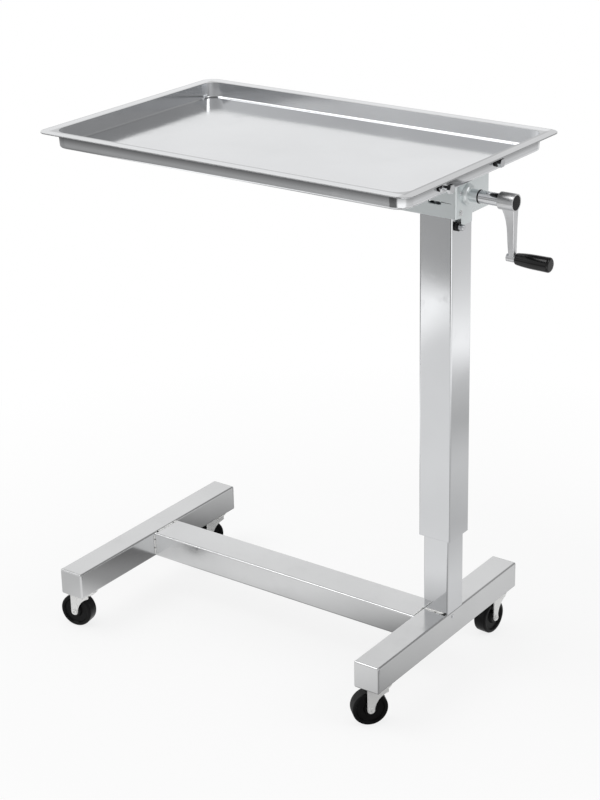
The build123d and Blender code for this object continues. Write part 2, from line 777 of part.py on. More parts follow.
# Caster stems with their raceways, fixed in the legs, and the nuts that hold them
caster_places = {
    "front_right": (right_leg_x, base_y - caster_y),
    "front_left": (left_leg_x, base_y + left_leg_offset_y - caster_y),
    "rear_right": (right_leg_x, base_y + caster_y),
    "rear_left": (left_leg_x, base_y + left_leg_offset_y + caster_y),
}
raceway_z = caster_height - raceway_thickness
race_ring_z = raceway_z - race_ring_thickness
fork_top = race_ring_z - swivel_gap
fork_under = fork_top - fork_thickness
with BuildPart() as caster_stems:
    for stem_x, stem_y in caster_places.values():
        stem_plane = Plane(origin=(stem_x, stem_y, 0))
        with BuildSketch(stem_plane.offset(raceway_z)):
            Circle(raceway_radius)
        extrude(amount=raceway_thickness)
        with BuildSketch(stem_plane.offset(race_ring_z)):
            Circle(race_ring_radius)
        extrude(amount=race_ring_thickness)
        with BuildSketch(stem_plane.offset(fork_under - stem_head_height - swivel_gap)):
            Circle(stem_head_radius)
        extrude(amount=stem_head_height)
        with BuildSketch(stem_plane.offset(fork_under - swivel_gap)):
            Circle(stem_radius)
        extrude(amount=caster_height + stem_rise - fork_under + swivel_gap)
save(caster_stems.part, "caster_stems")

with BuildPart() as caster_stem_nuts:
    for stem_x, stem_y in caster_places.values():
        nut_plane = Plane(origin=(stem_x, stem_y, leg_bottom + tube_wall))
        add(hex_prism(nut_plane, stem_nut_across, stem_nut_height, stem_radius))
save(caster_stem_nuts.part, "caster_stem_nuts")

# Four casters: a stamped fork, a riveted axle, a solid wheel with dished faces and its bush
fork_inner = wheel_hub_width / 2 + fork_gap
bush_outer_radius = axle_radius + running_clearance + bush_wall
fork_top_edge = sqrt(fork_top_radius**2 - (fork_inner + fork_web) ** 2) + fork_web_lead
for place_name, (stem_x, stem_y) in caster_places.items():
    heading = radians(caster_headings[place_name])
    axle_way = Vector(cos(heading), sin(heading), 0)
    trail_way = Vector(sin(heading), -cos(heading), 0)
    swivel_plane = Plane(origin=(stem_x, stem_y, 0), x_dir=axle_way, z_dir=(0, 0, 1))
    wheel_centre = Vector(stem_x, stem_y, wheel_radius) + trail_way * caster_trail
    side_plane = Plane(origin=(stem_x, stem_y, 0), x_dir=-trail_way, z_dir=axle_way)
    axle_plane = Plane(origin=wheel_centre, x_dir=-trail_way, z_dir=axle_way)

    with BuildPart() as fork:
        strip_back = -caster_trail - fork_foot_radius
        strip_front = -caster_trail + fork_foot_radius
        half_width = fork_inner + fork_strip
        with BuildSketch(swivel_plane.offset(fork_under)):
            Circle(fork_top_radius)
            with Locations((0, strip_back / 2)):
                Rectangle(2 * half_width, -strip_back)
            Circle(stem_radius + running_clearance, mode=Mode.SUBTRACT)
        extrude(amount=fork_thickness)
        for side in (-1, 1):
            cheek = side_plane.offset(side * fork_inner)
            with BuildSketch(cheek):
                with BuildLine():
                    Line((strip_back, wheel_radius), (strip_back, fork_top))
                    Line((strip_back, fork_top), (strip_front, fork_top))
                    Line((strip_front, fork_top), (strip_front, wheel_radius))
                    Line((strip_front, wheel_radius), (strip_back, wheel_radius))
                make_face()
                with Locations((-caster_trail, wheel_radius)):
                    Circle(fork_foot_radius)
                    Circle(axle_radius, mode=Mode.SUBTRACT)
            extrude(amount=side * fork_strip)
            with BuildSketch(cheek):
                with BuildLine():
                    web_foot_z = wheel_radius + fork_web_overlap
                    web_back = strip_front - fork_web_overlap
                    web_low = (strip_front, web_foot_z)
                    web_high = (fork_top_edge, fork_under - fork_web_drop)
                    ThreePointArc(web_low, fork_waist, web_high)
                    Line(web_high, (fork_top_edge, fork_top))
                    Line((fork_top_edge, fork_top), (web_back, fork_top))
                    Line((web_back, fork_top), (web_back, web_foot_z))
                    Line((web_back, web_foot_z), web_low)
                make_face()
                with Locations((-caster_trail, wheel_radius)):
                    Circle(axle_radius, mode=Mode.SUBTRACT)
            extrude(amount=side * fork_web)
    save(fork.part, f"caster_fork_{place_name}")

    with BuildPart() as axle:
        axle_half = fork_inner + fork_strip
        with BuildSketch(axle_plane.offset(-axle_half)):
            Circle(axle_radius)
        extrude(amount=2 * axle_half)
        for side in (-1, 1):
            with BuildSketch(axle_plane.offset(side * axle_half)):
                Circle(axle_head_radius)
            extrude(amount=side * axle_head_height)
            with BuildSketch(axle_plane.offset(side * (axle_half + axle_head_height))):
                Circle(axle_dimple_radius)
            extrude(amount=-side * axle_dimple_depth, mode=Mode.SUBTRACT)
    save(axle.part, f"caster_axle_{place_name}")

    with BuildPart() as wheel:
        with BuildSketch(Plane(origin=wheel_centre, x_dir=axle_way, z_dir=trail_way)):
            with BuildLine():
                half = wheel_width / 2
                hub_half = wheel_hub_width / 2
                rim_inner = wheel_radius - wheel_rim_width
                web_half = half - wheel_dish
                right_side = Polyline(
                    (0, bush_outer_radius),
                    (hub_half, bush_outer_radius),
                    (hub_half, wheel_hub_edge_radius),
                    (web_half, wheel_hub_foot_radius),
                    (web_half, rim_inner - wheel_dish_slope),
                    (half, rim_inner),
                    (half, wheel_radius - tread_round),
                )
                shoulder = RadiusArc(
                    right_side @ 1, (half - tread_round, wheel_radius), -tread_round
                )
                Line(shoulder @ 1, (0, wheel_radius))
                mirror(about=Plane.YZ)
            make_face()
        revolve(axis=Axis(wheel_centre, axle_way))
    save(wheel.part, f"caster_wheel_{place_name}")

    with BuildPart() as bush:
        with BuildSketch(axle_plane.offset(-wheel_hub_width / 2)):
            Circle(bush_outer_radius)
            Circle(axle_radius + running_clearance, mode=Mode.SUBTRACT)
        extrude(amount=wheel_hub_width)
    save(bush.part, f"caster_bush_{place_name}")
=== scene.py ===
import json
from collections import namedtuple
from math import cos, pi, radians, sin

import bmesh
import bpy
from mathutils import Matrix, Vector


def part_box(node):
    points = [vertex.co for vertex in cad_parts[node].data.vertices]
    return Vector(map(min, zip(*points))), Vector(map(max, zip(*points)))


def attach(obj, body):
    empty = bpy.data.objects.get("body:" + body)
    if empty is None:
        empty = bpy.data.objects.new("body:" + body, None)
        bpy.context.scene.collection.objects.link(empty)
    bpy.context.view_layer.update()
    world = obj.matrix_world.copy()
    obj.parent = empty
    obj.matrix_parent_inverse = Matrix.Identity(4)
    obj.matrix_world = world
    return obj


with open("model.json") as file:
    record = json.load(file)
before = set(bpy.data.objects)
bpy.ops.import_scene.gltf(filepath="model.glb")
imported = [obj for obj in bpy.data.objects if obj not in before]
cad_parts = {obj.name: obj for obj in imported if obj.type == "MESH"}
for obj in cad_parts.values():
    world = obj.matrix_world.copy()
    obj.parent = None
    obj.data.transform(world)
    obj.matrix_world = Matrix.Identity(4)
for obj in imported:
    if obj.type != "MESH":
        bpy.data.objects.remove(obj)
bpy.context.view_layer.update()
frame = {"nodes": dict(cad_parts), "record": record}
nodes = frame["nodes"]

left, right = Vector((-1, 0, 0)), Vector((1, 0, 0))
front, back = Vector((0, -1, 0)), Vector((0, 1, 0))
up = Vector((0, 0, 1))

Box = namedtuple("Box", "low high middle")


def box_of(name):
    """The corners and the middle of a node's box, in metres."""
    low, high = (Vector(corner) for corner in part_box(name))
    return Box(low, high, (low + high) / 2)


# Shader helpers


class ShaderTree:
    """A short way to write the maths of a shader tree."""

    def __init__(self, node_tree):
        self.node_tree = node_tree

    def put(self, socket, value):
        """Link another node's output to a socket, or set the socket's own value."""
        if hasattr(value, "is_linked"):
            self.node_tree.links.new(value, socket)
        else:
            socket.default_value = value

    def new(self, kind, **inputs):
        """A node with some of its inputs, whose names have _ for each space."""
        node = self.node_tree.nodes.new(kind)
        for key, value in inputs.items():
            self.put(node.inputs[key.replace("_", " ")], value)
        return node

    def math(self, operation, first, second=0.0):
        node = self.node_tree.nodes.new("ShaderNodeMath")
        node.operation = operation
        self.put(node.inputs[0], first)
        self.put(node.inputs[1], second)
        return node.outputs["Value"]

    def product(self, result, *factors):
        for factor in factors:
            result = self.math("MULTIPLY", result, factor)
        return result

    def one_minus(self, value):
        return self.math("SUBTRACT", 1.0, value)

    def dot(self, vector, direction):
        node = self.node_tree.nodes.new("ShaderNodeVectorMath")
        node.operation = "DOT_PRODUCT"
        self.put(node.inputs[0], vector)
        self.put(node.inputs[1], direction)
        return node.outputs["Value"]

    def remap(self, value, low, high, start=0.0, end=1.0):
        """Goes straight from start to end while the value goes from low to high."""
        node = self.new("ShaderNodeMapRange", Value=value, From_Min=low, From_Max=high,
                        To_Min=start, To_Max=end)
        return node.outputs["Result"]

    def ramp(self, value, stops):
        """A tone over a value, straight between stops that are pairs of value and tone."""
        first, last = stops[0][0], stops[-1][0]
        node = self.new("ShaderNodeValToRGB", Fac=self.remap(value, first, last))
        elements = node.color_ramp.elements
        for place, _ in stops[1:-1]:
            elements.new((place - first) / (last - first))
        for element, (_, tone) in zip(elements, stops):
            element.color = (tone, tone, tone, 1)
        return node.outputs["Color"]

    def mix_colors(self, factor, first, second, blend_type="MIX"):
        """Two colours mixed. Inputs 6 and 7 and output 2 are the sockets that hold colours."""
        node = self.node_tree.nodes.new("ShaderNodeMix")
        node.data_type = "RGBA"
        node.blend_type = blend_type
        for place, value in ((0, factor), (6, first), (7, second)):
            self.put(node.inputs[place], value)
        return node.outputs[2]

    def mix_shaders(self, factor, first, second):
        node = self.node_tree.nodes.new("ShaderNodeMixShader")
        for socket, value in zip(node.inputs, (factor, first.outputs[0], second.outputs[0])):
            self.put(socket, value)
        return node


def emptied(owner):
    """The shader tree of a material or a world, with nothing in it yet."""
    owner.use_nodes = True
    owner.node_tree.nodes.clear()
    return ShaderTree(owner.node_tree)


# Finishes, where lengths are in metres and roughness runs between two values

even = (1, 1, 1)
along_x, along_y, along_z = (0.03, 1, 1), (1, 0.03, 1), (1, 1, 0.03)


class Finish(ShaderTree):
    """One procedural material, with softly rounded edges."""

    def __init__(self, name, color, metallic, roughness, edge_round, **fixed):
        self.material = bpy.data.materials.new(name)
        self.material.use_nodes = True
        super().__init__(self.material.node_tree)
        self.shader = self.node_tree.nodes["Principled BSDF"].inputs
        self.shader["Base Color"].default_value = (*color, 1)
        self.shader["Metallic"].default_value = metallic
        self.shader["Roughness"].default_value = roughness
        for key, value in fixed.items():
            self.shader[key.replace("_", " ")].default_value = value
        self.coordinates = self.new("ShaderNodeTexCoord").outputs["Object"]
        self.normal = self.new("ShaderNodeBevel", Radius=edge_round).outputs["Normal"]
        self.put(self.shader["Normal"], self.normal)

    def noise(self, scale, detail, grain=even, roughness=0.5, distortion=0.0):
        """Noise, drawn out along the axes where the grain is small."""
        place = self.new("ShaderNodeMapping", Vector=self.coordinates, Scale=grain).outputs["Vector"]
        node = self.new("ShaderNodeTexNoise", Vector=place, Scale=scale, Detail=detail,
                        Roughness=roughness, Distortion=distortion)
        return node.outputs["Fac"]

    def crystals(self, scale):
        return self.new("ShaderNodeTexVoronoi", Vector=self.coordinates, Scale=scale).outputs["Distance"]

    def roughen(self, value):
        self.put(self.shader["Roughness"], value)

    def color(self, factor, first, second):
        self.put(self.shader["Base Color"], self.mix_colors(factor, (*first, 1), (*second, 1)))

    def bump(self, height, strength, depth):
        """Relief on top of the relief so far."""
        node = self.new("ShaderNodeBump", Height=height, Strength=strength, Distance=depth,
                        Normal=self.normal)
        self.normal = node.outputs["Normal"]
        self.put(self.shader["Normal"], self.normal)


def polished(name, color, roughness, grain, wave, metallic=1.0):
    """Polished or plated metal: soft cloudiness, fine polishing lines and slight waviness."""
    smooth, dull = roughness
    smear_share, deeper_share, line_depth = 0.8, 0.93, 0.00002
    finish = Finish(name, color, metallic, smooth, edge_round=0.0006)
    cloud = finish.remap(finish.noise(scale=9, detail=4, roughness=0.6), 0.3, 0.7, smooth, dull)
    smear = finish.remap(finish.noise(scale=35, detail=5, distortion=1.2), 0.55, 0.75)
    finish.roughen(finish.math("ADD", cloud, finish.product(smear, (dull - smooth) * smear_share)))
    deeper = [channel * deeper_share for channel in color]
    finish.color(finish.remap(finish.noise(scale=5, detail=4), 0.35, 0.65), color, deeper)
    finish.bump(finish.noise(scale=7, detail=1), strength=1.0, depth=wave)
    finish.bump(finish.noise(scale=900, detail=2, grain=grain), strength=0.12, depth=line_depth)
    return finish


def moulded(name, color, roughness, grain_scale, grain_depth, metallic=0.0, **fixed):
    """Moulded plastic, rubber or black finish with a fine grain and faint handling marks."""
    smooth, dull = roughness
    mark_gain, mark_lift = 1.6, 0.002
    finish = Finish(name, color, metallic, smooth, edge_round=0.0005, **fixed)
    finish.roughen(finish.remap(finish.noise(scale=30, detail=4), 0.3, 0.7, smooth, dull))
    lighter = [channel * mark_gain + mark_lift for channel in color]
    finish.color(finish.remap(finish.noise(scale=60, detail=6), 0.5, 0.8), color, lighter)
    finish.bump(finish.noise(grain_scale, detail=4), strength=0.3, depth=grain_depth)
    return finish


stainless = polished("stainless_polish", (0.80, 0.81, 0.825),
                     roughness=(0.08, 0.14), grain=along_x, wave=0.0006)
stainless_tube = polished("stainless_tube", (0.80, 0.81, 0.825),
                          roughness=(0.07, 0.13), grain=along_z, wave=0.0004)
stainless_leg = polished("stainless_leg", (0.78, 0.785, 0.79),
                         roughness=(0.12, 0.21), grain=along_y, wave=0.0004)
chrome = polished("chrome_plate", (0.74, 0.75, 0.765),
                  roughness=(0.05, 0.10), grain=even, wave=0.0002)
steel = polished("machined_steel", (0.52, 0.53, 0.55),
                 roughness=(0.24, 0.36), grain=(0.2, 1, 1), wave=0.0001)
brass = polished("machined_brass", (0.72, 0.55, 0.28),
                 roughness=(0.24, 0.34), grain=(1, 1, 0.2), wave=0.0001)

zinc = polished("zinc_plate", (0.84, 0.885, 0.89),
                roughness=(0.25, 0.38), grain=even, wave=0.0003, metallic=0.8)
zinc.bump(zinc.crystals(scale=260), strength=0.05, depth=0.00004)

caster_zinc = polished("caster_zinc", (0.92, 0.92, 0.91),
                       roughness=(0.20, 0.34), grain=even, wave=0.0002, metallic=0.5)
caster_zinc.bump(caster_zinc.noise(scale=700, detail=3), strength=0.15, depth=0.00005)

cast = polished("cast_arm_metal", (0.78, 0.785, 0.795),
                roughness=(0.28, 0.40), grain=even, wave=0.0003)
cast.bump(cast.noise(scale=420, detail=5, roughness=0.65), strength=0.25, depth=0.00012)

bead_color, pit_color = (0.95, 0.95, 0.94), (0.05, 0.05, 0.05)
weld_metal = polished("weld_bead", bead_color,
                      roughness=(0.30, 0.46), grain=even, wave=0.0001, metallic=0.35)
weld_pits = weld_metal.remap(weld_metal.noise(scale=170, detail=3), 0.58, 0.64)
weld_metal.color(weld_pits, bead_color, pit_color)
weld_metal.bump(weld_metal.noise(scale=900, detail=4), strength=0.5, depth=0.0002)

grip_black = moulded("grip_black", (0.003, 0.003, 0.0033), roughness=(0.08, 0.15),
                     grain_scale=500, grain_depth=0.00002, Specular_IOR_Level=0.45)
wheel_black = moulded("wheel_black", (0.003, 0.003, 0.0034), roughness=(0.26, 0.40),
                      grain_scale=900, grain_depth=0.00006, Specular_IOR_Level=0.18)
washer_black = moulded("washer_black", (0.008, 0.008, 0.009), roughness=(0.25, 0.4), metallic=0.2,
                       grain_scale=900, grain_depth=0.00003, Specular_IOR_Level=0.3)
cap_black = moulded("cap_black", (0.004, 0.004, 0.0045), roughness=(0.22, 0.34),
                    grain_scale=700, grain_depth=0.00003, Specular_IOR_Level=0.16)
# Near-black painted shade for the strips along seams and the nick
seam_shade = moulded("seam_shadow", (0.02, 0.02, 0.02), roughness=(0.5, 0.7),
                    grain_scale=600, grain_depth=0.00002, Specular_IOR_Level=0.2)
nylon = moulded("guide_nylon", (0.50, 0.50, 0.47), roughness=(0.42, 0.55),
                grain_scale=600, grain_depth=0.00004)


def paint_tray_fold_shade(finish):
    """Painted shade in the steel's colour along the flange's rim and lip, on its right side and in the
    fold under it.
    """
    tray = box_of("tray")
    half = (tray.high - tray.low) / 2
    # distances in from the tray's sides, or down from its top, where the painted shade starts and is full
    rim_insets, lip_insets = (0.0022, 0.0008), (0.0118, 0.0150)
    right_insets = (0.0185, 0.0145)
    flange_drops, fold_drops = (0.0006, 0.0002), (0.016, 0.004)
    # the normal's rise on an upright wall, and on an outer wall that faces a little down
    wall_rises = (0.01, -0.03)
    edge_shade_depth, right_shade_depth, fold_shade_depth = 0.34, 0.28, 0.86

    place = finish.new("ShaderNodeSeparateXYZ", Vector=finish.coordinates).outputs
    normal = finish.new("ShaderNodeNewGeometry").outputs["Normal"]
    normal_z = finish.new("ShaderNodeSeparateXYZ", Vector=normal).outputs["Z"]
    inset = []
    for axis, name in enumerate("XY"):
        from_middle = finish.math("ABSOLUTE", finish.math("SUBTRACT", place[name], tray.middle[axis]))
        inset.append(finish.math("SUBTRACT", half[axis], from_middle))
    inset = finish.math("MINIMUM", *inset)

    outside = finish.remap(normal_z, *wall_rises)
    flange = finish.remap(place["Z"], *(tray.high.z - drop for drop in flange_drops))
    under_flange = finish.remap(place["Z"], *(tray.high.z - drop for drop in fold_drops))
    right_side = finish.remap(place["X"], *(tray.high.x - distance for distance in right_insets))
    edges = finish.math("MAXIMUM", finish.remap(inset, *lip_insets), finish.remap(inset, *rim_insets))
    # painted shade: a darker rim and lip, a darker right side, and shade in the fold under the flange
    tone = finish.product(
        finish.one_minus(finish.product(flange, edges, edge_shade_depth)),
        finish.one_minus(finish.product(outside, under_flange, fold_shade_depth)),
        finish.one_minus(finish.product(right_side, flange, right_shade_depth)),
    )
    plain = finish.shader["Base Color"].links[0].from_socket
    finish.put(finish.shader["Base Color"], finish.mix_colors(1.0, plain, tone, "MULTIPLY"))


# Painted shade on the tray's polished steel
paint_tray_fold_shade(stainless)

# What each node wears

by_node = {
    "tray": stainless,
    "left_leg": stainless_leg,
    "right_leg": stainless_leg,
    "leg_end_caps": stainless_leg,
    "cross_beam": stainless_leg,
    "hub_cap": cap_black,
}
by_slot = {
    "stainless": stainless_tube,
    "zinc": zinc,
    "chrome": chrome,
    "dark_washer": washer_black,
    "steel": steel,
    "cast_arm": cast,
    "black_plastic": grip_black,
    "wheel_rubber": wheel_black,
    "nylon": nylon,
    "brass": brass,
}
caster_metal = ("caster_fork", "caster_axle", "caster_stem")
slot_of = {row["node"]: row["material_slot"] for row in frame["record"]["subparts"]}


def finish_of(name):
    if name in by_node:
        return by_node[name]
    if name.startswith(caster_metal):
        return caster_zinc
    return by_slot[slot_of[name]]


def dress(obj, material):
    """Give every material slot of an object one material."""
    if not obj.material_slots:
        obj.data.materials.append(material)
    for slot in obj.material_slots:
        slot.material = material


for name, obj in nodes.items():
    dress(obj, finish_of(name).material)


def new_object(name, verts, faces, material, smooth=False):
    mesh = bpy.data.meshes.new(name)
    mesh.from_pydata([tuple(vert) for vert in verts], [], faces)
    for polygon in mesh.polygons:
        polygon.use_smooth = smooth
    mesh.update()
    mesh.materials.append(material)
    obj = bpy.data.objects.new(name, mesh)
    bpy.context.collection.objects.link(obj)
    return obj


# Studio

# The floor and sky are white. Only polished metal sees darker and brighter tones on them, in
# the places where dark flags and bright panels would stand. view_mirrored is the view ahead as
# the front faces mirror it, and flag_way points to a dark flag behind the stand, on its right.
camera_yaw = radians(34.94)
view_ahead = (-sin(camera_yaw), cos(camera_yaw), 0)
view_side = (cos(camera_yaw), sin(camera_yaw), 0)
view_mirrored = (-sin(camera_yaw), -cos(camera_yaw), 0)
flag_way = (0.69, 0.72, 0)

paper_tone = 0.9
mirror_share = 0.85
sky_on_matt = 0.72


def shiny_rays(tree, rays):
    return tree.math("MAXIMUM", rays["Is Glossy Ray"], rays["Is Transmission Ray"])


def floor_tone(tree, place):
    """What polished metal sees on the floor, over distances in metres from the origin."""
    rightward = tree.dot(place, right)
    forward = tree.dot(place, front)
    ahead = tree.dot(place, view_ahead)
    side = tree.dot(place, view_side)
    to_front_left = tree.dot(place, view_mirrored)
    spread_slope = 0.136
    spread = tree.math("SUBTRACT", side, tree.product(ahead, spread_slope))

    # seen in the front faces: out from the feet, then a bright band with a dark stretch beyond
    outward = tree.ramp(to_front_left, [
        (-0.9, 1.0), (-0.6, 0.75), (-0.3, 0.68), (-0.15, 0.50), (-0.04, 0.20), (0.05, 0.20),
        (0.12, 0.62), (0.2, 0.84), (0.4, 0.78), (1.2, 0.78),
    ])
    band = tree.ramp(rightward, [
        (-2.5, 0.34), (-1.0, 0.20), (-0.88, 0.20), (-0.77, 1.75), (-0.60, 1.6), (-0.50, 1.0), (0, 1),
    ])
    far_front = tree.ramp(forward, [(1.0, 1.0), (1.40, 1.0), (1.50, 0.36), (2.6, 0.36)])
    # seen in the right faces
    right_panels = tree.ramp(spread, [
        (0.45, 1.0), (0.62, 0.66), (0.8, 0.64), (1.0, 0.42), (1.18, 0.6), (1.32, 1.25), (1.45, 1.1),
        (1.62, 0.78), (1.85, 0.64), (2.6, 0.52),
    ])
    # a darker strip on the left of the left leg, and a darker patch between the legs
    left_strip = tree.product(
        tree.ramp(forward, [(0.42, 1.0), (0.55, 0.0)]),
        tree.ramp(rightward, [(-0.58, 0.0), (-0.50, 0.3), (-0.42, 0.3), (-0.3, 0.0)]),
    )
    leg_gap = tree.product(
        tree.ramp(forward, [(-0.22, 0.0), (-0.14, 1.0), (0.05, 1.0), (0.14, 0.0)]),
        tree.ramp(rightward, [(-0.32, 0.0), (-0.26, 0.6), (-0.10, 0.6), (-0.02, 0.0)]),
    )
    patches = tree.product(tree.one_minus(left_strip), tree.one_minus(leg_gap))
    around = tree.product(outward, band, far_front, patches, right_panels)

    # near and behind the camera: a dark flag beside a bright panel, seen in rounded corners
    flag_and_panel = tree.ramp(rightward, [
        (-3, 0.28), (-0.75, 0.32), (-0.58, 0.04), (0.70, 0.04), (0.95, 1.3), (2.3, 1.2), (2.9, 0.6),
    ])
    beside = tree.product(
        tree.ramp(rightward, [(0.5, 0.0), (0.7, 1.0)]),
        tree.ramp(forward, [(0.3, 0.0), (0.5, 1.0)]),
    )
    behind = tree.math("MAXIMUM", tree.ramp(forward, [(1.40, 0.0), (1.50, 1.0)]), beside)
    in_view = tree.product(around, tree.one_minus(behind))
    return tree.math("ADD", in_view, tree.product(flag_and_panel, behind))


def paint_floor(material):
    """Nearly white to the camera, with a soft shadow near the stand and none farther out."""
    tree = emptied(material)
    place = tree.new("ShaderNodeNewGeometry").outputs["Position"]
    rays = tree.new("ShaderNodeLightPath").outputs
    across = [tree.math("POWER", tree.dot(place, way), 2.0) for way in (right, front)]
    away = tree.math("SQRT", tree.math("ADD", *across))
    white_share = tree.ramp(away, [(0.5, 0.80), (1.1, 1.0)])
    paper = tree.new("ShaderNodeBsdfDiffuse", Color=(paper_tone, paper_tone, paper_tone, 1))
    white = tree.new("ShaderNodeEmission", Strength=1.0)
    mirrored = tree.new("ShaderNodeEmission", Color=floor_tone(tree, place), Strength=1.0)
    shown = tree.mix_shaders(tree.product(rays["Is Camera Ray"], white_share), paper, white)
    surface = tree.mix_shaders(tree.product(shiny_rays(tree, rays), mirror_share), shown, mirrored)
    tree.new("ShaderNodeOutputMaterial", Surface=surface.outputs[0])


def paint_sky(world):
    """White to the camera, an even light on matt surfaces, and its own tones for shiny ones."""
    tree = emptied(world)
    way = tree.new("ShaderNodeTexCoord").outputs["Generated"]
    rays = tree.new("ShaderNodeLightPath").outputs
    height = tree.ramp(tree.dot(way, up), [
        (0.0, 1.0), (0.3, 0.9), (0.55, 0.80), (0.68, 0.34), (0.9, 0.22), (1.0, 0.22),
    ])
    facing = tree.ramp(tree.dot(way, view_ahead), [
        (-1.0, 0.45), (-0.6, 0.55), (-0.35, 0.70), (0.1, 0.82), (0.45, 1.0), (1, 1),
    ])
    flag = tree.ramp(tree.dot(way, flag_way), [(-1, 1.0), (0.5, 1.0), (0.78, 0.42), (1.0, 0.40)])
    shiny = shiny_rays(tree, rays)
    mirrored = tree.product(height, facing, flag, shiny)
    even_light = tree.product(tree.one_minus(shiny), sky_on_matt)
    level = tree.math("MAXIMUM", tree.math("ADD", mirrored, even_light), rays["Is Camera Ray"])
    sky = tree.new("ShaderNodeBackground", Color=(1, 1, 1, 1), Strength=level)
    tree.new("ShaderNodeOutputWorld", Surface=sky.outputs[0])


floor_half = 30.0
floor_corners = [(x * floor_half, y * floor_half, 0) for x, y in ((-1, -1), (1, -1), (1, 1), (-1, 1))]
floor_material = bpy.data.materials.new("studio_floor")
paint_floor(floor_material)
floor = new_object("studio_floor", floor_corners, [(0, 1, 2, 3)], floor_material)

world = bpy.data.worlds.new("studio")
bpy.context.scene.world = world
paint_sky(world)


def area_light(name, place, size, power, target=(0, 0, 0.4)):
    data = bpy.data.lights.new(name, "AREA")
    data.shape = "RECTANGLE"
    data.size, data.size_y = size
    data.energy = power
    obj = bpy.data.objects.new(name, data)
    obj.location = place
    obj.rotation_euler = (Vector(target) - Vector(place)).to_track_quat("-Z", "Y").to_euler()
    bpy.context.collection.objects.link(obj)


area_light("key_light", place=(-1.6, -1.2, 3.2), size=(2.0, 2.0), power=30)
area_light("fill_light", place=(2.4, 0.6, 2.2), size=(1.2, 1.6), power=12)


# Small pieces that the solids leave out: welds, a thread, rims, and strips of painted shade along seams


def ride(obj, body):
    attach(obj, body)


def rows_of_faces(rows, around):
    """Faces between neighbouring rows of points, where each row closes on itself."""
    faces = []
    for row in range(rows):
        for k in range(around):
            here, beside = row * around + k, row * around + (k + 1) % around
            faces.append((here, beside, beside + around, here + around))
    return faces


def weld_bead(name, start, end, out_a, out_b):
    """A rippled fillet weld along a corner: out_a and out_b point away from the corner."""
    radius, bead_step, facets = 0.0022, 0.0006, 6
    ripple_pitch, ripple_share = 0.0024, 0.16
    swell_pitch, swell_share, swell_start = 0.0091, 0.08, 1.3
    end_share, end_growth = 0.35, 300
    hollow_share = 0.22
    start, end = Vector(start), Vector(end)
    length = (end - start).length
    steps = max(8, int(length / bead_step))
    verts = []
    for i in range(steps + 1):
        along = i / steps * length
        ripple = ripple_share * sin(along * 2 * pi / ripple_pitch)
        swell = swell_share * sin(along * 2 * pi / swell_pitch + swell_start)
        taper = min(1.0, end_share + end_growth * min(along, length - along))
        reach = radius * (1 + ripple + swell) * taper
        corner = start.lerp(end, i / steps)
        for k in range(facets + 1):
            turn = k / facets * pi / 2
            hollow = 1 - hollow_share * sin(2 * turn)
            verts.append(corner + (out_a * cos(turn) + out_b * sin(turn)) * reach * hollow)
        verts.append(corner)
    around = facets + 2
    faces = rows_of_faces(steps, around)
    faces.append(tuple(range(around))[::-1])
    faces.append(tuple(steps * around + k for k in range(around)))
    ride(new_object(name, verts, faces, weld_metal.material, smooth=True), "base")


def lathe(name, centre, axis, profile, finish, body, facets=40):
    """A ring turned about an axis: the profile is pairs of distance along it and radius."""
    across = axis.orthogonal().normalized()
    third = axis.cross(across)
    verts = []
    for along, radius in profile:
        for k in range(facets):
            turn = 2 * pi * k / facets
            verts.append(Vector(centre) + axis * along + (across * cos(turn) + third * sin(turn)) * radius)
    faces = [tuple(v % len(verts) for v in face) for face in rows_of_faces(len(profile), facets)]
    obj = new_object(name, verts, faces, finish.material, smooth=True)
    shape = bmesh.new()
    shape.from_mesh(obj.data)
    bmesh.ops.recalc_face_normals(shape, faces=shape.faces)
    shape.to_mesh(obj.data)
    shape.free()
    ride(obj, body)


def thread(name, start, axis, length, radius, pitch, finish, body):
    """The crests and roots of a screw thread over a plain shank."""
    crest, root, inside = radius * 1.05, radius * 1.002, radius * 0.9
    turns = int(length / pitch)
    end = turns * pitch
    profile = []
    for i in range(turns):
        profile += [(i * pitch, root), ((i + 0.5) * pitch, crest)]
    profile += [(end, root), (end, inside), (0, inside)]
    lathe(name, start, axis, profile, finish, body, facets=32)


def shade_strip(name, start, end, out, across, body, width, height):
    """A narrow raised strip of painted shade, with bevelled long edges, tapering to its far end."""
    steps, sides, narrowing, bevel_share = 24, 4, 0.7, 0.6
    wave_height, wave_turn = 0.00012, 9
    start, end = Vector(start), Vector(end)
    verts = []
    for i in range(steps + 1):
        t = i / steps
        half = across * (width / 2 * (1 - narrowing * t))
        middle = start.lerp(end, t) + across * wave_height * sin(t * wave_turn)
        top = middle + out * height
        verts += [middle - half, top - half * bevel_share, top + half * bevel_share, middle + half]
    faces = rows_of_faces(steps, sides)
    faces += [(3, 2, 1, 0), tuple(steps * sides + k for k in range(sides))]
    ride(new_object(name, verts, faces, seam_shade.material), body)


# Welds where the cross beam meets the legs and the column stands on the right leg
weld_inset = 0.003
top_weld_height = 0.45
beam = box_of("cross_beam")
column = box_of("lower_column")
for side_name, end_x, to_beam in (("left", beam.low.x, right), ("right", beam.high.x, left)):
    weld_bead(
        f"weld_beam_{side_name}_top",
        (end_x, beam.low.y + weld_inset, beam.high.z),
        (end_x, beam.high.y - weld_inset, beam.high.z),
        to_beam, up * top_weld_height,
    )
    for face_name, face_y, outward in (("front", beam.low.y, front), ("back", beam.high.y, back)):
        weld_bead(
            f"weld_beam_{side_name}_{face_name}",
            (end_x, face_y, beam.low.z + weld_inset),
            (end_x, face_y, beam.high.z - weld_inset),
            to_beam, outward,
        )
for face_name, face_y, outward in (("front", column.low.y, front), ("back", column.high.y, back)):
    weld_bead(
        f"weld_column_{face_name}",
        (column.low.x + weld_inset, face_y, column.low.z),
        (column.high.x - weld_inset, face_y, column.low.z),
        outward, up,
    )

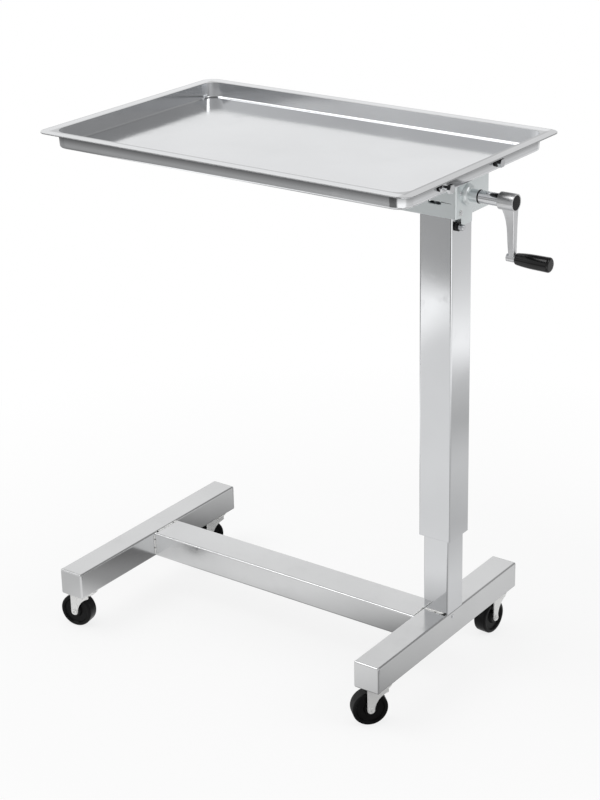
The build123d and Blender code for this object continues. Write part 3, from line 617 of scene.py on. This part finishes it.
# The thread on the free end of the stop bolt, from its nut to the tip's chamfer
stop_bolt = box_of("stop_bolt")
stop_thread_pitch = 0.00125
stop_tip = 0.0009
nut_end_x = box_of("stop_washers").high.x
thread(
    "stop_bolt_thread", (nut_end_x, stop_bolt.middle.y, stop_bolt.middle.z), right,
    stop_bolt.high.x - nut_end_x - stop_tip, (stop_bolt.high.z - stop_bolt.low.z) / 2,
    stop_thread_pitch, steel, "lift",
)

# A washer under the lower screw of the housing's right plate
screws = box_of("housing_screws")
screw_radius = (screws.high.y - screws.low.y) / 2
screw_head_height = 0.0012
washer_inner, washer_outer, washer_face, washer_base = 0.0027, 0.0039, 0.0006, 0.0001
washer_bevel_width, washer_bevel_height = 0.0003, 0.0002
lathe(
    "housing_screw_washer",
    (screws.high.x - screw_head_height, screws.middle.y, screws.low.z + screw_radius), right,
    [
        (washer_base, washer_inner), (washer_face, washer_inner),
        (washer_face, washer_outer - washer_bevel_width),
        (washer_face - washer_bevel_height, washer_outer), (washer_base, washer_outer),
    ],
    caster_zinc, "lift",
)

# The bright rim round the hub cap
cap = box_of("hub_cap")
rim_inner, rim_outer, rim_depth = 0.0101, 0.0113, 0.0008
rim_crown, rim_round = 0.0001, 0.0003
lathe(
    "hub_cap_rim", (cap.high.x, cap.middle.y, cap.middle.z), left,
    [
        (rim_crown, rim_inner), (0.0, rim_inner + rim_round), (rim_crown, rim_outer - rim_round),
        (rim_depth - 2 * rim_crown, rim_outer), (rim_depth, rim_inner),
    ],
    chrome, "crank",
)

# The folded seam in the housing's front cheek, from the slot towards the right plate, drawn as a strip of
# painted shade
housing = box_of("gear_housing")
seam_start_inset, seam_end_inset = 0.0235, 0.0075
seam_height, seam_drop = 0.0205, 0.0005
seam_z = housing.low.z + seam_height
shade_strip(
    "housing_seam",
    (housing.high.x - seam_start_inset, housing.low.y, seam_z),
    (housing.high.x - seam_end_inset, housing.low.y, seam_z - seam_drop),
    front, up, "lift", width=0.0011, height=0.00008,
)

# A nick in front of the weld, by the column's right corner, drawn as a strip of painted shade
nick_start_inset, nick_end_inset = 0.0025, 0.012
nick_y = column.low.y - 0.0024
nick_z = column.low.z + 0.0004
shade_strip(
    "column_nick",
    (column.high.x - nick_start_inset, nick_y, nick_z),
    (column.high.x - nick_end_inset, nick_y, nick_z),
    front, up, "base", width=0.0012, height=0.0001,
)

# Short strips of painted shade where the closed ends meet the leg tubes' upper corners
leg_corner = 0.0024
leg_seam_length = 0.007
for leg_name in ("left_leg", "right_leg"):
    leg = box_of(leg_name)
    top_z = leg.high.z - leg_corner
    for end_name, joint_y in (("front", leg.low.y), ("back", leg.high.y)):
        for side_name, face_x, outward in (("left", leg.low.x, left), ("right", leg.high.x, right)):
            shade_strip(
                f"seam_{leg_name}_{end_name}_{side_name}",
                (face_x, joint_y, top_z), (face_x, joint_y, top_z - leg_seam_length),
                outward, back, "base", width=0.0007, height=0.00005,
            )

# Camera

# Its place is measured from the middle of the right leg's outer face, on the floor. The lens
# and its centre are in pixels of the photo.
right_leg = box_of("right_leg")
camera_offset = Vector((1.2128, -1.9892, 1.3929))
camera_place = Vector((right_leg.high.x, right_leg.middle.y, 0)) + camera_offset
camera_pitch, camera_roll = radians(21.17), radians(-0.78)
photo_width_px, photo_height_px = 600, 800
focal_px = 1883.0
lens_x_px, lens_y_px = 343.7, 352.9
sensor_width_mm = 36.0
farthest_seen = 100

ahead = Vector(view_ahead) * cos(camera_pitch) - up * sin(camera_pitch)
side = Vector(view_side)
upward = side.cross(ahead)
side_rolled = side * cos(camera_roll) + upward * sin(camera_roll)
upward_rolled = upward * cos(camera_roll) - side * sin(camera_roll)

camera_data = bpy.data.cameras.new("camera")
camera_data.sensor_width = sensor_width_mm
camera_data.sensor_fit = "AUTO"
camera_data.lens = focal_px * sensor_width_mm / photo_height_px
camera_data.shift_x = (photo_width_px / 2 - lens_x_px) / photo_height_px
camera_data.shift_y = (lens_y_px - photo_height_px / 2) / photo_height_px
camera_data.clip_end = farthest_seen
camera = bpy.data.objects.new("camera", camera_data)
turned = Matrix((side_rolled, upward_rolled, -ahead)).transposed()
camera.matrix_world = Matrix.Translation(camera_place) @ turned.to_4x4()
bpy.context.collection.objects.link(camera)
bpy.context.scene.camera = camera
bpy.context.scene.view_settings.view_transform = "Standard"
